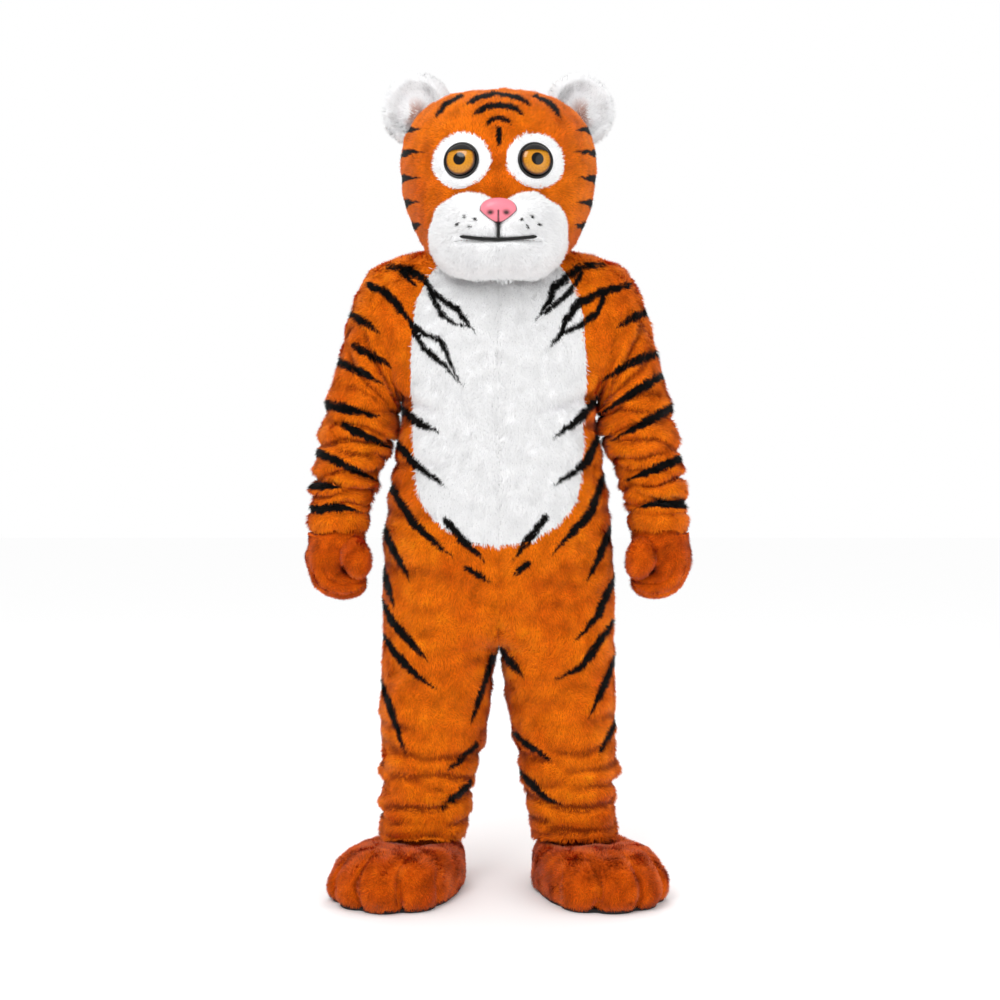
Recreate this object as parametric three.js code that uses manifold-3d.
import * as THREE from 'three';
import Module from 'manifold-3d';

const wasm = await Module();
wasm.setup();

// ---------------------------------------------------------------------------
// Driving dimensions, in millimetres. Heights are above the floor under the soles.
// The wearer's left side is +X and the costume faces -Y.
// ---------------------------------------------------------------------------

const ORIGIN_HEIGHT = 1400;
const SEAM = 0.3;
const SUIT_WALL = 6;
const HEAD_WALL = 14;
const PAW_WALL = 6;
const TRIM_WALL = 3;

// How square the suit's sections are: most at the armpit, where the side turns into the armhole.
const ROUNDNESS = { usual: 2.3, armpit: 2.9, armpitHeight: 1095, spread: 90 };

// The suit's level sections: how far the side seam and the inseam stand from the middle, and the
// depth of the front and the back. A negative inseam lies past the middle, above the crotch.
const SUIT = [
  { z: 104, outer: 273, inner: 80, front: 102, back: 98 },
  { z: 125, outer: 272, inner: 77, front: 104, back: 100 },
  { z: 150, outer: 265, inner: 76, front: 99, back: 98 },
  { z: 175, outer: 271, inner: 69, front: 106, back: 106 },
  { z: 205, outer: 263, inner: 66, front: 103, back: 104 },
  { z: 240, outer: 271, inner: 57, front: 112, back: 112 },
  { z: 285, outer: 267, inner: 47, front: 112, back: 114 },
  { z: 340, outer: 268, inner: 35, front: 119, back: 120 },
  { z: 430, outer: 265, inner: 22, front: 124, back: 127 },
  { z: 500, outer: 264, inner: 11, front: 130, back: 135 },
  { z: 540, outer: 264, inner: 2, front: 135, back: 140 },
  { z: 570, outer: 264, inner: -48, front: 139, back: 144 },
  { z: 620, outer: 264, inner: -140, front: 145, back: 149 },
  { z: 690, outer: 263, inner: -263, front: 153, back: 153 },
  { z: 780, outer: 260, inner: -260, front: 161, back: 152 },
  { z: 850, outer: 254, inner: -254, front: 165, back: 148 },
  { z: 915, outer: 246, inner: -246, front: 164, back: 143 },
  { z: 980, outer: 235, inner: -235, front: 160, back: 139 },
  { z: 1040, outer: 226, inner: -226, front: 156, back: 137 },
  { z: 1105, outer: 221, inner: -221, front: 153, back: 137 },
  { z: 1250, outer: 262, inner: -262, front: 146, back: 138 },
  { z: 1330, outer: 285, inner: -285, front: 132, back: 130 },
  { z: 1395, outer: 303, inner: -303, front: 106, back: 110 },
  { z: 1417, outer: 284, inner: -284, front: 92, back: 100 },
  { z: 1431, outer: 256, inner: -256, front: 84, back: 93 },
  { z: 1445, outer: 212, inner: -212, front: 78, back: 87 },
  { z: 1455, outer: 158, inner: -158, front: 75, back: 83 },
  { z: 1462, outer: 110, inner: -110, front: 73, back: 81 },
];
const CROTCH = 540;
const FULL_WIDTH = 690;
const NECKLINE = 1462;
const HEM_RISE = 14;

// The armhole is an oval seen from the side, in a plane that leans out from armpit to shoulder.
const ARMHOLE = { middle: 1250, halfHeight: 145, halfDepth: 106 };

// The white front panel: its half-width at each height.
const BELLY = [
  { z: 780, reach: 0 },
  { z: 788, reach: 64 },
  { z: 803, reach: 90 },
  { z: 823, reach: 124 },
  { z: 849, reach: 152 },
  { z: 880, reach: 171 },
  { z: 924, reach: 184 },
  { z: 982, reach: 188 },
  { z: 1105, reach: 194 },
  { z: 1200, reach: 194 },
  { z: 1300, reach: 186 },
  { z: 1352, reach: 172 },
  { z: 1395, reach: 148 },
  { z: 1431, reach: 118 },
  { z: 1462, reach: 84 },
];

// The sleeve's rings after the armhole: the outer and the inner end of each ring, its half-depth,
// and how far its middle lies behind the side seams. The rings below the elbow are stacked folds.
const SLEEVE = [
  { outX: 328, outZ: 1352, inX: 230, inZ: 1113, depth: 105, shift: 0 },
  { outX: 349, outZ: 1288, inX: 236, inZ: 1105, depth: 102, shift: -1 },
  { outX: 367, outZ: 1222, inX: 237, inZ: 1090, depth: 98, shift: -3 },
  { outX: 384, outZ: 1160, inX: 237, inZ: 1072, depth: 94, shift: -6 },
  { outX: 401, outZ: 1102, inX: 238, inZ: 1050, depth: 91, shift: -9 },
  { outX: 414, outZ: 1048, inX: 241, inZ: 1026, depth: 88, shift: -13 },
  { outX: 422, outZ: 998, inX: 252, inZ: 996, depth: 84, shift: -17 },
  { outX: 429, outZ: 958, inX: 268, inZ: 962, depth: 79, shift: -21 },
  { outX: 432, outZ: 931, inX: 281, inZ: 934, depth: 73, shift: -24 },
  { outX: 440, outZ: 905, inX: 282, inZ: 908, depth: 77, shift: -26 },
  { outX: 436, outZ: 882, inX: 295, inZ: 884, depth: 69, shift: -28 },
  { outX: 441, outZ: 866, inX: 293, inZ: 867, depth: 72, shift: -29 },
  { outX: 437, outZ: 851, inX: 302, inZ: 851, depth: 66, shift: -30 },
];
const CUFF = [
  { outX: 437, outZ: 850.6, inX: 302, inZ: 850.6, depth: 66, shift: -30 },
  { outX: 446, outZ: 836, inX: 297, inZ: 836, depth: 73, shift: -31 },
  { outX: 443, outZ: 822, inX: 300, inZ: 822, depth: 70, shift: -31 },
  { outX: 438, outZ: 812, inX: 305, inZ: 812, depth: 66, shift: -31 },
];

// The mitten bends along its path: place of each ring, half-thickness and half-breadth.
const HAND = [
  { x: 372, z: 834, thick: 50, broad: 50, shift: -31 },
  { x: 371, z: 811, thick: 57, broad: 56, shift: -31 },
  { x: 371, z: 795, thick: 64, broad: 64, shift: -31 },
  { x: 378, z: 768, thick: 60, broad: 69, shift: -31 },
  { x: 388, z: 738, thick: 50, broad: 70, shift: -31 },
  { x: 381, z: 708, thick: 42, broad: 66, shift: -31 },
  { x: 358, z: 693, thick: 36, broad: 60, shift: -31 },
  { x: 334, z: 691, thick: 31, broad: 52, shift: -31 },
  { x: 318, z: 693, thick: 22, broad: 38, shift: -31 },
  { x: 308, z: 695, thick: 0, broad: 0, shift: -31 },
];
const THUMB = [
  { x: 350, z: 797, thick: 18, broad: 18, shift: -56 },
  { x: 338, z: 780, thick: 27, broad: 27, shift: -74 },
  { x: 324, z: 757, thick: 33, broad: 32, shift: -88 },
  { x: 318, z: 732, thick: 30, broad: 29, shift: -88 },
  { x: 318, z: 714, thick: 20, broad: 20, shift: -85 },
  { x: 319, z: 706, thick: 0, broad: 0, shift: -84 },
];

// The paw shoe, in its own frame: the ankle's place, the turn outward, and an egg-shaped outline.
const PAW = {
  ankle: { x: 178, y: 4 },
  splay: 20,
  ball: 155,
  halfWidth: 130,
  toeLength: 137,
  heelLength: 265,
  ankleRadius: 72,
  collarTop: 150,
  soleThickness: 9,
  toeHeight: 130,
  heelHeight: 92,
  undercut: 0.4,
  toeBulge: 10,
};
const TOE_SEAMS = [-0.37, -0.165, 0.055, 0.245, 0.41];
const TOE_TOP = 0.6;

// The head: level sections up to its widest, then a crown that rounds over.
const HEAD = [
  { z: 1360, half: 150, front: 160, back: 112 },
  { z: 1400, half: 156, front: 172, back: 128 },
  { z: 1440, half: 164, front: 181, back: 146 },
  { z: 1480, half: 178, front: 187, back: 160 },
  { z: 1520, half: 197, front: 191, back: 170 },
  { z: 1570, half: 214, front: 193, back: 177 },
  { z: 1640, half: 221, front: 190, back: 180 },
];
const CROWN = { base: 1640, height: 174, across: 2.2, upright: 2.8 };
const HEAD_RIM = { chin: 1364, side: 1482, nape: 1456 };
const HEAD_ROUNDNESS = 2.2;

const MUZZLE = [
  { angle: -90, reach: 68 },
  { angle: -60, reach: 80 },
  { angle: -30, reach: 116 },
  { angle: 0, reach: 148 },
  { angle: 25, reach: 156 },
  { angle: 50, reach: 138 },
  { angle: 72, reach: 102 },
  { angle: 90, reach: 90 },
];
const MUZZLE_PLACE = { z: 1438, tip: 252 };
const EYE = { x: 80, z: 1622, radius: 35, dome: 16, patchWide: 62, patchTall: 60, rim: 5 };
const EAR = { x: 190, z: 1786, radius: 78, depth: 34, cup: 20, turn: 16 };
const NOSE = { z: 1500, halfWidth: 40, halfHeight: 27, depth: 26 };
const ZIP = { bottom: 810, top: 1440, width: 26, thickness: 1.5, depth: 2 };

// ---------------------------------------------------------------------------
// Numbers and points
// ---------------------------------------------------------------------------

// One column of a table at a place along it, on a smooth curve through the rows.
function along(table, key, column, place) {
  const last = table.length - 1;
  let i = 0;
  while (i < last - 1 && place > table[i + 1][key]) i++;
  const slope = (k) => {
    const a = table[Math.max(k - 1, 0)];
    const b = table[Math.min(k + 1, last)];
    return (b[column] - a[column]) / (b[key] - a[key]);
  };
  const step = table[i + 1][key] - table[i][key];
  const s = (place - table[i][key]) / step;
  const s2 = s * s;
  const s3 = s2 * s;
  const from = (2 * s3 - 3 * s2 + 1) * table[i][column] + (s3 - 2 * s2 + s) * step * slope(i);
  const to = (3 * s2 - 2 * s3) * table[i + 1][column] + (s3 - s2) * step * slope(i + 1);
  return from + to;
}

// A power that keeps the sign, for rounded-square sections.
function power(value, exponent) {
  return Math.sign(value) * Math.pow(Math.abs(value), exponent);
}

function spread(from, to, count) {
  return Array.from({ length: count + 1 }, (_, i) => from + ((to - from) * i) / count);
}

// A point of a form moved out along its normal.
function raised(form, u, v, lift, stepU, stepV) {
  const alongU = form(u + stepU, v).sub(form(u - stepU, v));
  const alongV = form(u, v + stepV).sub(form(u, v - stepV));
  const normal = alongU.cross(alongV).normalize();
  return form(u, v).addScaledVector(normal, lift);
}

// ---------------------------------------------------------------------------
// Closed solids
// ---------------------------------------------------------------------------

// Welds corners, drops collapsed triangles and turns the faces outward.
function solid(triangles) {
  const places = new Map();
  const positions = [];
  const index = [];
  for (const triangle of triangles) {
    const corners = triangle.map((p) => {
      const key = `${p.x.toFixed(3)},${p.y.toFixed(3)},${p.z.toFixed(3)}`;
      if (!places.has(key)) {
        places.set(key, positions.length / 3);
        positions.push(p.x, p.y, p.z);
      }
      return places.get(key);
    });
    if (new Set(corners).size === 3) index.push(...corners);
  }
  const geometry = new THREE.BufferGeometry();
  geometry.setAttribute('position', new THREE.Float32BufferAttribute(positions, 3));
  geometry.setIndex(index);
  if (signedVolume(geometry) < 0) turnInsideOut(geometry);
  return geometry;
}

function signedVolume(geometry) {
  const p = geometry.getAttribute('position');
  const index = geometry.getIndex();
  const corner = (k) => new THREE.Vector3().fromBufferAttribute(p, index.getX(k));
  let total = 0;
  for (let k = 0; k < index.count; k += 3) {
    total += corner(k).dot(corner(k + 1).cross(corner(k + 2))) / 6;
  }
  return total;
}

function turnInsideOut(geometry) {
  const index = geometry.getIndex();
  for (let k = 0; k < index.count; k += 3) {
    const second = index.getX(k + 1);
    index.setX(k + 1, index.getX(k + 2));
    index.setX(k + 2, second);
  }
}

function mirrored(geometry) {
  const copy = geometry.clone();
  copy.scale(-1, 1, 1);
  turnInsideOut(copy);
  return copy;
}

// Two triangles, split along the shorter diagonal, so that facing rims split alike.
function quad(a, b, c, d) {
  if (a.distanceTo(c) <= b.distanceTo(d)) return [[a, b, c], [a, c, d]];
  return [[a, b, d], [b, c, d]];
}

// The closed wall between two grids of points: face and back, with rims along the open edges.
function wall(face, back, around = false) {
  const rows = face.length;
  const columns = face[0].length;
  const triangles = [];
  const next = (i) => (i + 1) % columns;
  const cells = around ? columns : columns - 1;
  for (let j = 0; j < rows - 1; j++) {
    for (let i = 0; i < cells; i++) {
      triangles.push(...quad(face[j][i], face[j][next(i)], face[j + 1][next(i)], face[j + 1][i]));
      triangles.push(...quad(back[j][i], back[j + 1][i], back[j + 1][next(i)], back[j][next(i)]));
    }
  }
  for (let i = 0; i < cells; i++) {
    const top = rows - 1;
    triangles.push(...quad(face[0][i], back[0][i], back[0][next(i)], face[0][next(i)]));
    triangles.push(...quad(face[top][i], face[top][next(i)], back[top][next(i)], back[top][i]));
  }
  if (!around) {
    for (let j = 0; j < rows - 1; j++) {
      const end = columns - 1;
      triangles.push(...quad(face[j][0], face[j + 1][0], back[j + 1][0], back[j][0]));
      triangles.push(...quad(face[j][end], back[j][end], back[j + 1][end], face[j + 1][end]));
    }
  }
  return solid(triangles);
}

// A filled body inside one grid of rings, its two ends closed by fans.
function plug(rings) {
  const columns = rings[0].length;
  const triangles = [];
  for (let j = 0; j < rings.length - 1; j++) {
    for (let i = 0; i < columns; i++) {
      const n = (i + 1) % columns;
      triangles.push(...quad(rings[j][i], rings[j][n], rings[j + 1][n], rings[j + 1][i]));
    }
  }
  const middle = (ring) => ring.reduce((sum, p) => sum.add(p), new THREE.Vector3()).divideScalar(columns);
  const start = middle(rings[0]);
  const end = middle(rings[rings.length - 1]);
  for (let i = 0; i < columns; i++) {
    const n = (i + 1) % columns;
    triangles.push([start, rings[0][n], rings[0][i]]);
    triangles.push([end, rings[rings.length - 1][i], rings[rings.length - 1][n]]);
  }
  return solid(triangles);
}

// The wall of a form over rows of places [u, v], between two heights above its surface.
function panel(form, places, lifts, steps, shift = new THREE.Vector3()) {
  const layer = (lift) => places.map((row) => row.map(([u, v]) => (
    raised(form, u, v, lift, steps[0], steps[1]).add(shift)
  )));
  return wall(layer(lifts.face), layer(lifts.back));
}

function toManifold(geometry) {
  const p = geometry.getAttribute('position');
  const index = geometry.getIndex();
  return new wasm.Manifold(new wasm.Mesh({
    numProp: 3,
    vertProperties: Float32Array.from(p.array),
    triVerts: Uint32Array.from(index.array),
  }));
}

function fromManifold(body) {
  const mesh = body.getMesh();
  const point = (k) => {
    const at = mesh.numProp * k;
    return new THREE.Vector3(...mesh.vertProperties.slice(at, at + 3));
  };
  const triangles = [];
  for (let k = 0; k < mesh.triVerts.length; k += 3) {
    triangles.push([point(mesh.triVerts[k]), point(mesh.triVerts[k + 1]), point(mesh.triVerts[k + 2])]);
  }
  return solid(triangles);
}

function cut(geometry, ...tools) {
  let body = toManifold(geometry);
  for (const tool of tools) body = body.subtract(toManifold(tool));
  const pieces = body.decompose();
  pieces.sort((a, b) => b.volume() - a.volume());
  return fromManifold(pieces[0]);
}

// ---------------------------------------------------------------------------
// Finishes
// ---------------------------------------------------------------------------

const FINISH = {
  orangePlush: { color: 0xd4690f, roughness: 0.9 },
  rustPlush: { color: 0xb9510c, roughness: 0.9 },
  whitePlush: { color: 0xe9e9ec, roughness: 0.9 },
  blackPlush: { color: 0x14110f, roughness: 0.9 },
  pinkFoam: { color: 0xef7b8c, roughness: 0.55 },
  eyePlastic: { color: 0xc98a20, roughness: 0.15 },
  rimPlastic: { color: 0x121212, roughness: 0.35 },
  soleRubber: { color: 0x1b1a1a, roughness: 0.8 },
  zipTape: { color: 0x1a1a1a, roughness: 0.7 },
};

const group = new THREE.Group();
const costume = new THREE.Group();
costume.position.z = -ORIGIN_HEIGHT;
group.add(costume);

function add(name, geometry, finish) {
  const material = new THREE.MeshStandardMaterial({ ...FINISH[finish], metalness: 0 });
  const mesh = new THREE.Mesh(geometry, material);
  mesh.name = name;
  costume.add(mesh);
}

// The wearer's left piece as made, and its mirror image on the right.
function addPair(name, geometry, finish) {
  add(`${name}_left`, geometry, finish);
  add(`${name}_right`, mirrored(geometry), finish);
}

// ---------------------------------------------------------------------------
// The suit's front, back and white front panel
// ---------------------------------------------------------------------------

const FRONT = -1;
const BACK = 1;
const QUARTER = Math.PI / 2;
const SUIT_STEPS = [0.01, 1];

function roundness(z) {
  const off = (z - ROUNDNESS.armpitHeight) / ROUNDNESS.spread;
  return ROUNDNESS.usual + (ROUNDNESS.armpit - ROUNDNESS.usual) * Math.exp(-off * off);
}

function suitDepth(z, side) {
  return along(SUIT, 'z', side === FRONT ? 'front' : 'back', z);
}

function armholeDepth(z) {
  const height = (z - ARMHOLE.middle) / ARMHOLE.halfHeight;
  return ARMHOLE.halfDepth * Math.sqrt(Math.max(0, 1 - height * height));
}

// The angle at which the panel ends: the side or shoulder seam, or the armhole.
function edgeAngle(z, side) {
  return Math.acos(Math.pow(armholeDepth(z) / suitDepth(z, side), roundness(z) / 2));
}

// The middle of the section and its half-width, widened so that it meets the armhole.
function suitWidth(z, side) {
  const outer = along(SUIT, 'z', 'outer', z);
  const inner = along(SUIT, 'z', 'inner', z);
  const middle = z < FULL_WIDTH ? (outer + inner) / 2 : 0;
  const half = z < FULL_WIDTH ? (outer - inner) / 2 : outer;
  return { middle, half: half / power(Math.sin(edgeAngle(z, side)), 2 / roundness(z)) };
}

function suitForm(side) {
  return (angle, z) => {
    const { middle, half } = suitWidth(z, side);
    const x = middle + half * power(Math.sin(angle), 2 / roundness(z));
    const y = side * suitDepth(z, side) * power(Math.cos(angle), 2 / roundness(z));
    return new THREE.Vector3(x, y, z);
  };
}

// The angle at which the section crosses a distance from the middle of the body.
function angleAt(x, z, side) {
  const { middle, half } = suitWidth(z, side);
  const ratio = Math.max(-1, Math.min(1, (x - middle) / half));
  return Math.asin(power(ratio, roundness(z) / 2));
}

function innerAngle(z, side) {
  return z <= CROTCH ? -QUARTER : angleAt(0, z, side);
}

const ARMHOLE_RING = 12;
const armholeRows = spread(0, Math.PI, ARMHOLE_RING / 2)
  .map((turn) => ARMHOLE.middle - ARMHOLE.halfHeight * Math.cos(turn));
const SHOULDER_ROWS = [1417, 1431, 1445, 1455, NECKLINE];
const LEG_ROWS = [104, 125, 150, 175, 205, 240, 285, 340, 430, 500, CROTCH, 552, 570, 620, 690];
const BELLY_ROWS = [780, 788, 803, 823, 849, 880, 924, 982, 1040];
const SUIT_COLUMNS = 5;
const BELLY_COLUMNS = 3;

// The hem rises over the instep at the front.
function hemmed(z, angle, side) {
  const rise = side === FRONT ? HEM_RISE * Math.cos(angle) ** 2 : 0;
  return z === LEG_ROWS[0] ? z + rise : z;
}

function suitPlaces(rows, from, to, side, columns) {
  return rows.map((z) => spread(from(z), to(z), columns).map((angle) => [angle, hemmed(z, angle, side)]));
}

function bellyAngle(z) {
  return angleAt(along(BELLY, 'z', 'reach', z), z, FRONT);
}

// Each half is moved off the middle and off the side seam by half the seam's gap.
function seamShift(side) {
  return new THREE.Vector3(SEAM / 2, (side * SEAM) / 2, 0);
}

function suitPanel(rows, from, to, side, columns) {
  const places = suitPlaces(rows, from, to, side, columns);
  const lifts = side === FRONT ? { face: 0, back: -SUIT_WALL } : { face: 0, back: SUIT_WALL };
  return panel(suitForm(side), places, lifts, SUIT_STEPS, seamShift(side));
}

function frontPanel() {
  const rows = [...LEG_ROWS, ...BELLY_ROWS, ...armholeRows, ...SHOULDER_ROWS];
  const gap = 0.003;
  const from = (z) => (z >= BELLY_ROWS[0] ? bellyAngle(z) + gap : innerAngle(z, FRONT));
  return suitPanel(rows, from, (z) => edgeAngle(z, FRONT), FRONT, SUIT_COLUMNS);
}

function bellyPanel() {
  const rows = [...BELLY_ROWS, ...armholeRows, ...SHOULDER_ROWS];
  return suitPanel(rows, () => 0, bellyAngle, FRONT, BELLY_COLUMNS);
}

function backPanel() {
  const rows = [...LEG_ROWS, 780, 880, 982, 1040, ...armholeRows, ...SHOULDER_ROWS];
  return suitPanel(rows, (z) => innerAngle(z, BACK), (z) => edgeAngle(z, BACK), BACK, SUIT_COLUMNS);
}

addPair('front', frontPanel(), 'orangePlush');
addPair('belly', bellyPanel(), 'whitePlush');
addPair('back', backPanel(), 'orangePlush');

// ---------------------------------------------------------------------------
// Sleeves and cuffs
// ---------------------------------------------------------------------------

// A ring between an outer and an inner end, both in a plane that runs front to back.
function ringPoint(row, turn, inset) {
  const out = new THREE.Vector3(row.outX, 0, row.outZ);
  const inn = new THREE.Vector3(row.inX, 0, row.inZ);
  const across = out.clone().sub(inn).multiplyScalar(0.5);
  const reach = across.length() - inset;
  const point = out.add(inn).multiplyScalar(0.5);
  point.addScaledVector(across.normalize(), reach * Math.cos(turn));
  point.y = row.shift - (row.depth - inset) * Math.sin(turn);
  return point;
}

function sleeveTurns() {
  return spread(0, 2 * Math.PI, ARMHOLE_RING).slice(0, ARMHOLE_RING);
}

// The sleeve starts on the very points that the trunk panels end on, one seam further out.
function armholeRing(lift) {
  return sleeveTurns().map((turn) => {
    const side = Math.sin(turn) >= 0 ? FRONT : BACK;
    const z = ARMHOLE.middle + ARMHOLE.halfHeight * Math.cos(turn);
    const angle = edgeAngle(z, side);
    const point = raised(suitForm(side), angle, z, side === FRONT ? lift : -lift, ...SUIT_STEPS);
    return point.add(new THREE.Vector3(SEAM * 1.5, 0, -SEAM * Math.cos(turn)));
  });
}

function sleeve() {
  const rings = (inset) => SLEEVE.map((row) => sleeveTurns().map((turn) => ringPoint(row, turn, inset)));
  const face = [armholeRing(0), ...rings(0)];
  const back = [armholeRing(-SUIT_WALL), ...rings(SUIT_WALL)];
  return wall(face, back, true);
}

function cuff() {
  const rings = (inset) => CUFF.map((row) => sleeveTurns().map((turn) => ringPoint(row, turn, inset)));
  return wall(rings(0), rings(SUIT_WALL), true);
}

addPair('sleeve', sleeve(), 'orangePlush');
addPair('cuff', cuff(), 'orangePlush');

// ---------------------------------------------------------------------------
// The concealed zip, closed, under the centre back seam
// ---------------------------------------------------------------------------

function backZip() {
  const rows = [ZIP.bottom, 880, 982, 1040, ...armholeRows, 1417, ZIP.top];
  const halfAngle = (z) => angleAt(ZIP.width / 2, z, BACK);
  const places = rows.map((z) => [-halfAngle(z), 0, halfAngle(z)].map((angle) => [angle, z]));
  const inside = SUIT_WALL + ZIP.depth;
  return panel(suitForm(BACK), places, { face: inside, back: inside + ZIP.thickness }, SUIT_STEPS);
}

add('back_zip', backZip(), 'zipTape');

// ---------------------------------------------------------------------------
// Mittens
// ---------------------------------------------------------------------------

const HAND_RING = 10;
const PALM_ROWS = [2, 3, 4, 5, 6];

// A ring square to the mitten's path, which bends in the plane across the body.
function pathForm(path) {
  const rows = path.map((row, i) => ({ ...row, at: i }));
  const at = (column, s) => along(rows, 'at', column, s);
  return (turn, s) => {
    const tangent = new THREE.Vector2(
      at('x', s + 0.05) - at('x', s - 0.05),
      at('z', s + 0.05) - at('z', s - 0.05),
    ).normalize();
    const thick = Math.max(at('thick', s), 0);
    const broad = Math.max(at('broad', s), 0);
    const x = at('x', s) - tangent.y * thick * Math.cos(turn);
    const z = at('z', s) + tangent.x * thick * Math.cos(turn);
    return new THREE.Vector3(x, at('shift', s) - broad * Math.sin(turn), z);
  };
}

// Rings of a path form, drawn in by an inset that never passes its middle.
function pathRings(path, inset, ringCount) {
  const drawn = path.map((row) => ({
    ...row,
    thick: Math.max(row.thick - inset, 0),
    broad: Math.max(row.broad - inset, 0),
  }));
  const tip = drawn[drawn.length - 1];
  const before = path[path.length - 2];
  const reach = Math.hypot(tip.x - before.x, tip.z - before.z);
  tip.x += ((before.x - tip.x) * inset) / reach;
  tip.z += ((before.z - tip.z) * inset) / reach;
  const form = pathForm(drawn);
  const turns = spread(0, 2 * Math.PI, ringCount).slice(0, ringCount);
  return drawn.map((_, s) => turns.map((turn) => form(turn, s)));
}

function palm() {
  const outside = pathRings(HAND, -SEAM, HAND_RING);
  const top = pathRings(HAND, -SEAM - TRIM_WALL, HAND_RING);
  const pick = (rings) => PALM_ROWS.map((s) => rings[s].slice(HAND_RING / 2 - 2, HAND_RING / 2 + 3));
  return wall(pick(top), pick(outside));
}

const handWall = wall(pathRings(HAND, 0, HAND_RING), pathRings(HAND, PAW_WALL, HAND_RING), true);
const thumbWall = wall(pathRings(THUMB, 0, 8), pathRings(THUMB, PAW_WALL, 8), true);
const handBody = plug(pathRings(HAND, -SEAM, HAND_RING));
const thumbBody = plug(pathRings(THUMB, -SEAM, 8));
const thumbHollow = plug(pathRings(THUMB, PAW_WALL, 8));

addPair('hand', cut(handWall, thumbHollow), 'rustPlush');
addPair('thumb', cut(thumbWall, handBody), 'rustPlush');
addPair('palm', cut(palm(), thumbBody), 'blackPlush');

// ---------------------------------------------------------------------------
// Paw shoes
// ---------------------------------------------------------------------------

// How far a place lies into a toe: 0 at its seams, 1 along its middle, 0 beside the toes.
function toeFullness(s) {
  for (let i = 0; i < TOE_SEAMS.length - 1; i++) {
    const part = (s - TOE_SEAMS[i]) / (TOE_SEAMS[i + 1] - TOE_SEAMS[i]);
    if (part > 0 && part < 1) return Math.sin(Math.PI * part);
  }
  return 0;
}

// The shoe's surface: s runs round from the toes (0) to the heel (-1 and 1), v from sole to ankle.
function pawForm(s, v) {
  const turn = Math.PI * s;
  const length = Math.cos(turn) > 0 ? PAW.toeLength : PAW.heelLength;
  const fade = Math.max(0, 1 - Math.pow(v / TOE_TOP, 3));
  const bulge = PAW.toeBulge * toeFullness(s) * fade;
  const edge = new THREE.Vector2(
    (PAW.halfWidth + bulge) * Math.sin(turn),
    PAW.ball + (length + bulge) * Math.cos(turn),
  );
  const ankle = new THREE.Vector2(Math.sin(turn), Math.cos(turn)).multiplyScalar(PAW.ankleRadius);
  const swing = -PAW.undercut + (QUARTER + PAW.undercut) * v;
  const out = power(Math.cos(swing), 2 / 2.4);
  const plan = ankle.lerp(edge, out);
  const top = PAW.heelHeight + (PAW.toeHeight - PAW.heelHeight) * Math.cos(turn / 2) ** 2;
  const base = PAW.soleThickness + SEAM;
  const belly = base + (top - base) * 0.25;
  const up = swing < 0
    ? belly + ((belly - base) * Math.sin(swing)) / Math.sin(PAW.undercut)
    : belly + (top - belly) * power(Math.sin(swing), 2 / 2.4);
  const dip = (top - PAW.heelHeight + 4) * Math.max(0, 1 - out) ** 2;
  const splay = THREE.MathUtils.degToRad(PAW.splay);
  return new THREE.Vector3(
    PAW.ankle.x + plan.y * Math.sin(splay) + plan.x * Math.cos(splay),
    PAW.ankle.y - plan.y * Math.cos(splay) + plan.x * Math.sin(splay),
    up - dip,
  );
}

const PAW_STEPS = [0.03, 0.01];
const PAW_LIFTS = { face: 0, back: -PAW_WALL };

const TOE_COLUMNS = 3;
const HEEL_COLUMNS = 8;
const SEAM_TURN = 0.0013;

// Where each toe and then the heel start and end on their way round the shoe.
const pawSectors = TOE_SEAMS.map((from, i) => {
  const to = i < TOE_SEAMS.length - 1 ? TOE_SEAMS[i + 1] : 2 + TOE_SEAMS[0];
  const columns = i < TOE_SEAMS.length - 1 ? TOE_COLUMNS : HEEL_COLUMNS;
  return { from: from + SEAM_TURN, to: to - SEAM_TURN, columns };
});

function pawPanel(sector, rows) {
  const turns = spread(sector.from, sector.to, sector.columns);
  const places = spread(0, TOE_TOP, rows).map((v) => turns.map((s) => [s, v]));
  return panel(pawForm, places, PAW_LIFTS, PAW_STEPS);
}

// The vamp rings the ankle above the toes and the heel, with a collar that stands up in the leg.
// Its lower edge has the same corners as theirs.
function vamp() {
  const turns = pawSectors.flatMap(({ from, to, columns }) => spread(from, to, columns));
  const rows = [TOE_TOP + 0.003, 0.78, 0.985];
  const layer = (lift) => rows.map((v) => turns.map((s) => raised(pawForm, s, v, lift, ...PAW_STEPS)));
  const collar = (lift) => turns.map((s) => {
    const rim = raised(pawForm, s, 0.985, 0, ...PAW_STEPS);
    const middle = new THREE.Vector3(PAW.ankle.x, PAW.ankle.y, rim.z);
    const ray = rim.clone().sub(middle).normalize();
    const point = middle.addScaledVector(ray, PAW.ankleRadius + lift);
    point.z = PAW.collarTop;
    return point;
  });
  return wall([...layer(0), collar(0)], [...layer(-PAW_WALL), collar(-PAW_WALL)], true);
}

function sole() {
  const turns = spread(-1, 1, 28).slice(0, 28);
  const ring = (z) => turns.map((s) => {
    const point = raised(pawForm, s, 0, -2, ...PAW_STEPS);
    point.z = z;
    return point;
  });
  return plug([ring(0), ring(PAW.soleThickness)]);
}

const TOE_NAMES = ['inner', 'second', 'third', 'outer'];
TOE_NAMES.forEach((name, i) => {
  addPair(`toe_${name}`, pawPanel(pawSectors[i], 4), 'rustPlush');
});
addPair('heel', pawPanel(pawSectors[TOE_NAMES.length], 4), 'rustPlush');
addPair('vamp', vamp(), 'rustPlush');
addPair('sole', sole(), 'soleRubber');

// ---------------------------------------------------------------------------
// Head
// ---------------------------------------------------------------------------

const HEAD_STEPS = [0.01, 1];
const HEAD_COLUMNS = 8;
const HEAD_TURNS = spread(0, Math.PI, HEAD_COLUMNS);

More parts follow.
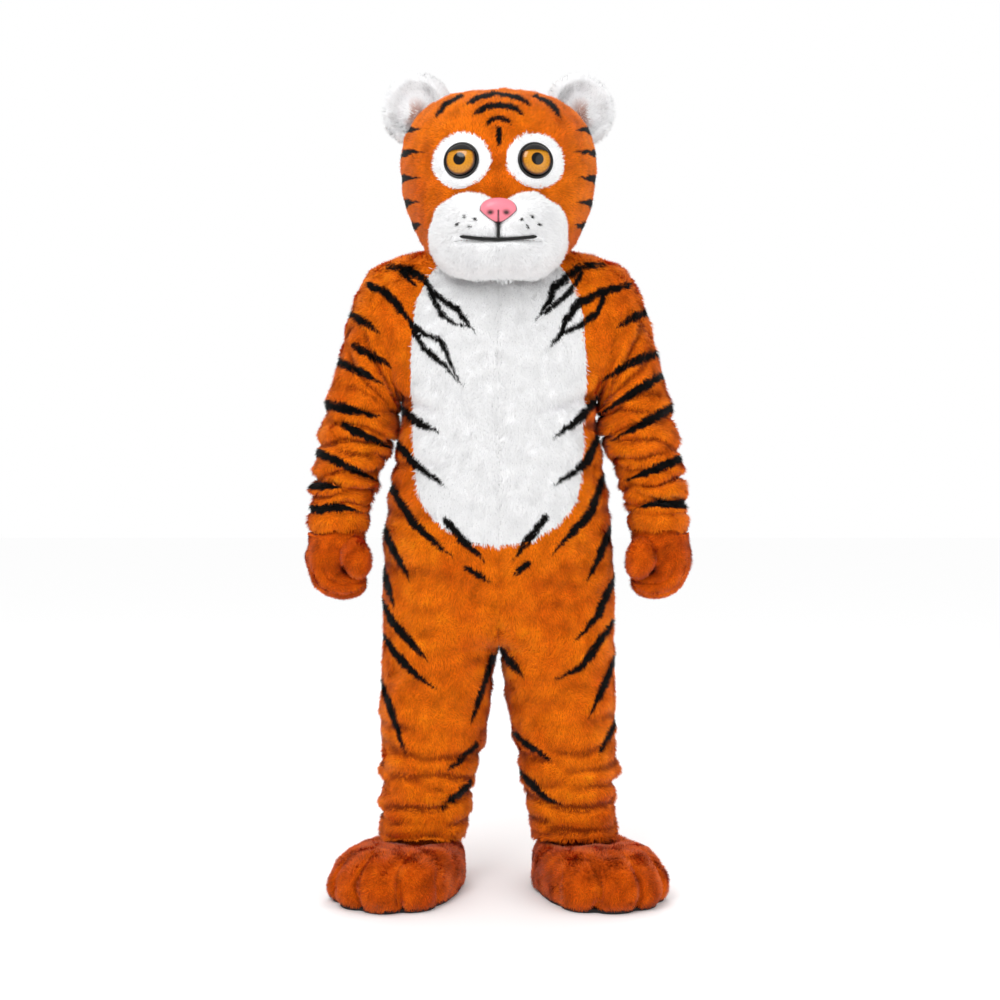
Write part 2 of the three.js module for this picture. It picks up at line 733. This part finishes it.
function headSize(z) {
  if (z <= CROWN.base) {
    return {
      half: along(HEAD, 'z', 'half', z),
      front: along(HEAD, 'z', 'front', z),
      back: along(HEAD, 'z', 'back', z),
    };
  }
  const height = Math.min((z - CROWN.base) / CROWN.height, 1);
  const scale = Math.pow(1 - Math.pow(height, CROWN.upright), 1 / CROWN.across);
  const widest = HEAD[HEAD.length - 1];
  return { half: widest.half * scale, front: widest.front * scale, back: widest.back * scale };
}

function headForm(turn, z) {
  const size = headSize(z);
  const depth = Math.cos(turn) >= 0 ? size.front : size.back;
  const x = size.half * power(Math.sin(turn), 2 / HEAD_ROUNDNESS);
  const y = -depth * power(Math.cos(turn), 2 / HEAD_ROUNDNESS);
  return new THREE.Vector3(x, y, z);
}

// The opening's rim: low under the chin, clear of the shoulders at the sides.
function headRim(turn) {
  const { chin, side, nape } = HEAD_RIM;
  if (Math.cos(turn) >= 0) return chin + (side - chin) * (1 - Math.cos(turn));
  return nape + (side - nape) * Math.abs(Math.sin(turn));
}

const CROWN_TOP = CROWN.base + CROWN.height;

// Rows of places from the rim to just under the top of the crown.
function headPlaces(turns) {
  const lower = [0, 1 / 3, 2 / 3].map((part) => turns.map((turn) => {
    const rim = headRim(turn);
    return [turn, rim + (1520 - rim) * part];
  }));
  const upper = [1520, 1580, CROWN.base, 1700, 1745, 1780, 1803].map((z) => turns.map((turn) => [turn, z]));
  return [...lower, ...upper];
}

function headLayer(turns, lift, shift) {
  const rows = headPlaces(turns).map((row) => row.map(([turn, z]) => (
    raised(headForm, turn, z, lift, ...HEAD_STEPS).add(shift)
  )));
  const pole = new THREE.Vector3(shift.x, 0, CROWN_TOP + lift);
  return [...rows, turns.map(() => pole)];
}

function headShell() {
  const shift = new THREE.Vector3(SEAM / 2, 0, 0);
  return wall(headLayer(HEAD_TURNS, 0, shift), headLayer(HEAD_TURNS, -HEAD_WALL, shift));
}

// The filled head, a little larger, for cutting what sits on it.
function headBody(lift) {
  const half = headLayer(HEAD_TURNS, lift, new THREE.Vector3(SEAM / 2, 0, 0));
  const rings = half.map((row) => [
    ...row,
    ...row.slice(1, -1).reverse().map((p) => new THREE.Vector3(-p.x, p.y, p.z)),
  ]);
  return plug(rings);
}

addPair('head', headShell(), 'orangePlush');

// The head's surface as depth over a front view, for what lies on the face.
function faceForm(x, z) {
  const size = headSize(z);
  const rest = Math.max(0, 1 - Math.pow(Math.abs(x) / size.half, HEAD_ROUNDNESS));
  return new THREE.Vector3(x, -size.front * Math.pow(rest, 1 / HEAD_ROUNDNESS), z);
}

// ---------------------------------------------------------------------------
// Muzzle: two lobes and a chin that meet at the mouth, with the nose above
// ---------------------------------------------------------------------------

const MUZZLE_STEPS = [0.02, 0.01];

// Angle from the wearer's left, anticlockwise seen from the front; v from the edge to the tip.
function muzzleForm(angle, v) {
  const fold = Math.asin(Math.sin(angle));
  const reach = along(MUZZLE, 'angle', 'reach', THREE.MathUtils.radToDeg(fold));
  const edge = faceForm(reach * Math.cos(angle), MUZZLE_PLACE.z + reach * Math.sin(angle));
  const swing = QUARTER * v;
  const out = power(Math.cos(swing), 2 / 2.5);
  const forward = power(Math.sin(swing), 2 / 2.2);
  const rise = MUZZLE_PLACE.tip + edge.y;
  const lobe = 14 * Math.sin(2 * swing) * Math.max(0, Math.sin(angle)) * Math.abs(Math.cos(angle));
  return new THREE.Vector3(
    edge.x * out,
    edge.y - rise * forward - lobe,
    MUZZLE_PLACE.z + (edge.z - MUZZLE_PLACE.z) * out,
  );
}

const MUZZLE_ROWS = [0.06, 0.25, 0.45, 0.65, 0.85];
const MUZZLE_WALL = 8;

function muzzlePart(from, to, columns) {
  const turns = spread(from, to, columns);
  const places = MUZZLE_ROWS.map((v) => turns.map((angle) => [angle, v]));
  const layer = (lift) => {
    const rows = places.map((row) => row.map(([angle, v]) => (
      raised(muzzleForm, angle, v, lift, ...MUZZLE_STEPS)
    )));
    const middle = (from + to) / 2;
    const shift = new THREE.Vector3(Math.cos(middle), 0, Math.sin(middle)).multiplyScalar(SEAM);
    const pole = new THREE.Vector3(0, -MUZZLE_PLACE.tip - lift, MUZZLE_PLACE.z);
    return [...rows, turns.map(() => pole)].map((row) => row.map((p) => p.clone().add(shift)));
  };
  return wall(layer(0), layer(-MUZZLE_WALL));
}

// A narrow black ribbon on the muzzle's seams, through a list of places [angle, v].
function mouthRibbon(places, side) {
  const layer = (lift) => places.map(([angle, v]) => {
    const point = v < 1
      ? raised(muzzleForm, angle, v, lift, ...MUZZLE_STEPS)
      : new THREE.Vector3(0, -MUZZLE_PLACE.tip - lift, MUZZLE_PLACE.z);
    return [point.clone().sub(side), point, point.clone().add(side)];
  });
  return wall(layer(TRIM_WALL + 1), layer(1));
}

const headCutter = headBody(SEAM);
const lobeLeft = cut(muzzlePart(0, QUARTER, 5), headCutter);
addPair('muzzle', lobeLeft, 'whitePlush');
add('chin', cut(muzzlePart(-Math.PI, 0, 8), headCutter), 'whitePlush');

const MOUTH_HALF = 3;
const mouthPlaces = [[Math.PI, 0.65], [Math.PI, 0.85], [0, 1], [0, 0.85], [0, 0.65]];
const philtrumPlaces = [[QUARTER, 0.94], [QUARTER, 0.85], [QUARTER, 0.7]];
add('mouth', mouthRibbon(mouthPlaces, new THREE.Vector3(0, 0, MOUTH_HALF)), 'blackPlush');
add('philtrum', mouthRibbon(philtrumPlaces, new THREE.Vector3(MOUTH_HALF, 0, 0)), 'blackPlush');

// ---------------------------------------------------------------------------
// Nose, eyes and ears
// ---------------------------------------------------------------------------

function nose() {
  const base = new THREE.SphereGeometry(1, 12, 8);
  base.scale(NOSE.halfWidth, NOSE.depth, NOSE.halfHeight);
  const p = base.getAttribute('position');
  for (let k = 0; k < p.count; k++) {
    const down = Math.max(0, -p.getZ(k) / NOSE.halfHeight);
    p.setX(k, p.getX(k) * (1 - 0.45 * down));
  }
  base.translate(0, -MUZZLE_PLACE.tip + 4, NOSE.z);
  return weld(base);
}

// A closed three.js shape with its split corners joined.
function weld(geometry) {
  const flat = geometry.index ? geometry.toNonIndexed() : geometry;
  const p = flat.getAttribute('position');
  const triangles = [];
  for (let k = 0; k < p.count; k += 3) {
    triangles.push([0, 1, 2].map((n) => new THREE.Vector3().fromBufferAttribute(p, k + n)));
  }
  return solid(triangles);
}

// The muzzle filled and slightly larger, for cutting the nose to sit on it.
function muzzleBody(lift) {
  const turns = spread(0, 2 * Math.PI, 20).slice(0, 20);
  const rows = MUZZLE_ROWS.map((v) => turns.map((angle) => (
    raised(muzzleForm, angle, v, lift, ...MUZZLE_STEPS)
  )));
  const pole = new THREE.Vector3(0, -MUZZLE_PLACE.tip - lift, MUZZLE_PLACE.z);
  return plug([...rows, turns.map(() => pole)]);
}

add('nose', cut(nose(), muzzleBody(TRIM_WALL + 2), headCutter), 'pinkFoam');

// An oval patch of the face around the eye, between two heights.
function eyePatch(face, back) {
  const turns = spread(0, 2 * Math.PI, 14).slice(0, 14);
  const place = (part, turn) => [
    EYE.x + EYE.patchWide * part * Math.cos(turn),
    EYE.z + EYE.patchTall * part * Math.sin(turn),
  ];
  const layer = (lift) => {
    const ring = (part) => turns.map((turn) => raised(faceForm, ...place(part, turn), lift, 1, 1));
    const middle = raised(faceForm, EYE.x, EYE.z, lift, 1, 1);
    return [ring(1), ring(0.5), turns.map(() => middle)];
  };
  return wall(layer(face), layer(back), true);
}

const PATCH_LIFT = 1;

function eyeFrame() {
  const outward = raised(faceForm, EYE.x, EYE.z, 1, 1, 1).sub(faceForm(EYE.x, EYE.z));
  const turn = new THREE.Quaternion().setFromUnitVectors(new THREE.Vector3(0, 1, 0), outward.normalize());
  const place = raised(faceForm, EYE.x, EYE.z, PATCH_LIFT + TRIM_WALL, 1, 1);
  return new THREE.Matrix4().compose(place, turn, new THREE.Vector3(1, 1, 1));
}

function eyeDome() {
  const profile = [new THREE.Vector2(0, -8), new THREE.Vector2(EYE.radius, -8)];
  for (const turn of spread(0, QUARTER, 4)) {
    profile.push(new THREE.Vector2(EYE.radius * Math.cos(turn), EYE.dome * Math.sin(turn)));
  }
  return weld(new THREE.LatheGeometry(profile, 12).applyMatrix4(eyeFrame()));
}

function eyeRim() {
  const inner = EYE.radius + SEAM;
  const outer = inner + EYE.rim;
  const profile = [
    new THREE.Vector2(inner, -8),
    new THREE.Vector2(outer, -8),
    new THREE.Vector2(outer, 2),
    new THREE.Vector2((inner + outer) / 2, 4),
    new THREE.Vector2(inner, 2),
    new THREE.Vector2(inner, -8),
  ];
  return weld(new THREE.LatheGeometry(profile, 12).applyMatrix4(eyeFrame()));
}

const patchCutter = eyePatch(PATCH_LIFT + TRIM_WALL + SEAM, -20);
addPair('eye_patch', eyePatch(PATCH_LIFT + TRIM_WALL, PATCH_LIFT), 'whitePlush');
addPair('eye', cut(eyeDome(), patchCutter), 'eyePlastic');
addPair('eye_rim', cut(eyeRim(), patchCutter), 'rimPlastic');

// A round cupped ear, open to the front, its rim as thick as its foam.
function ear() {
  const { radius, depth, cup } = EAR;
  const profile = [
    new THREE.Vector2(0, depth / 2 - cup),
    new THREE.Vector2(radius * 0.45, depth / 2 - cup * 0.8),
    new THREE.Vector2(radius * 0.7, depth / 2 - cup * 0.25),
    new THREE.Vector2(radius * 0.85, depth / 2),
    new THREE.Vector2(radius * 0.97, depth / 4),
    new THREE.Vector2(radius, -depth / 10),
    new THREE.Vector2(radius * 0.9, -depth / 3),
    new THREE.Vector2(radius * 0.5, -depth * 0.62),
    new THREE.Vector2(0, -depth * 0.7),
  ];
  const shape = new THREE.LatheGeometry(profile, 14);
  shape.rotateX(Math.PI);
  shape.rotateZ(THREE.MathUtils.degToRad(EAR.turn));
  shape.translate(EAR.x, 10, EAR.z);
  return weld(shape);
}

addPair('ear', cut(ear(), headCutter), 'whitePlush');

export default group;
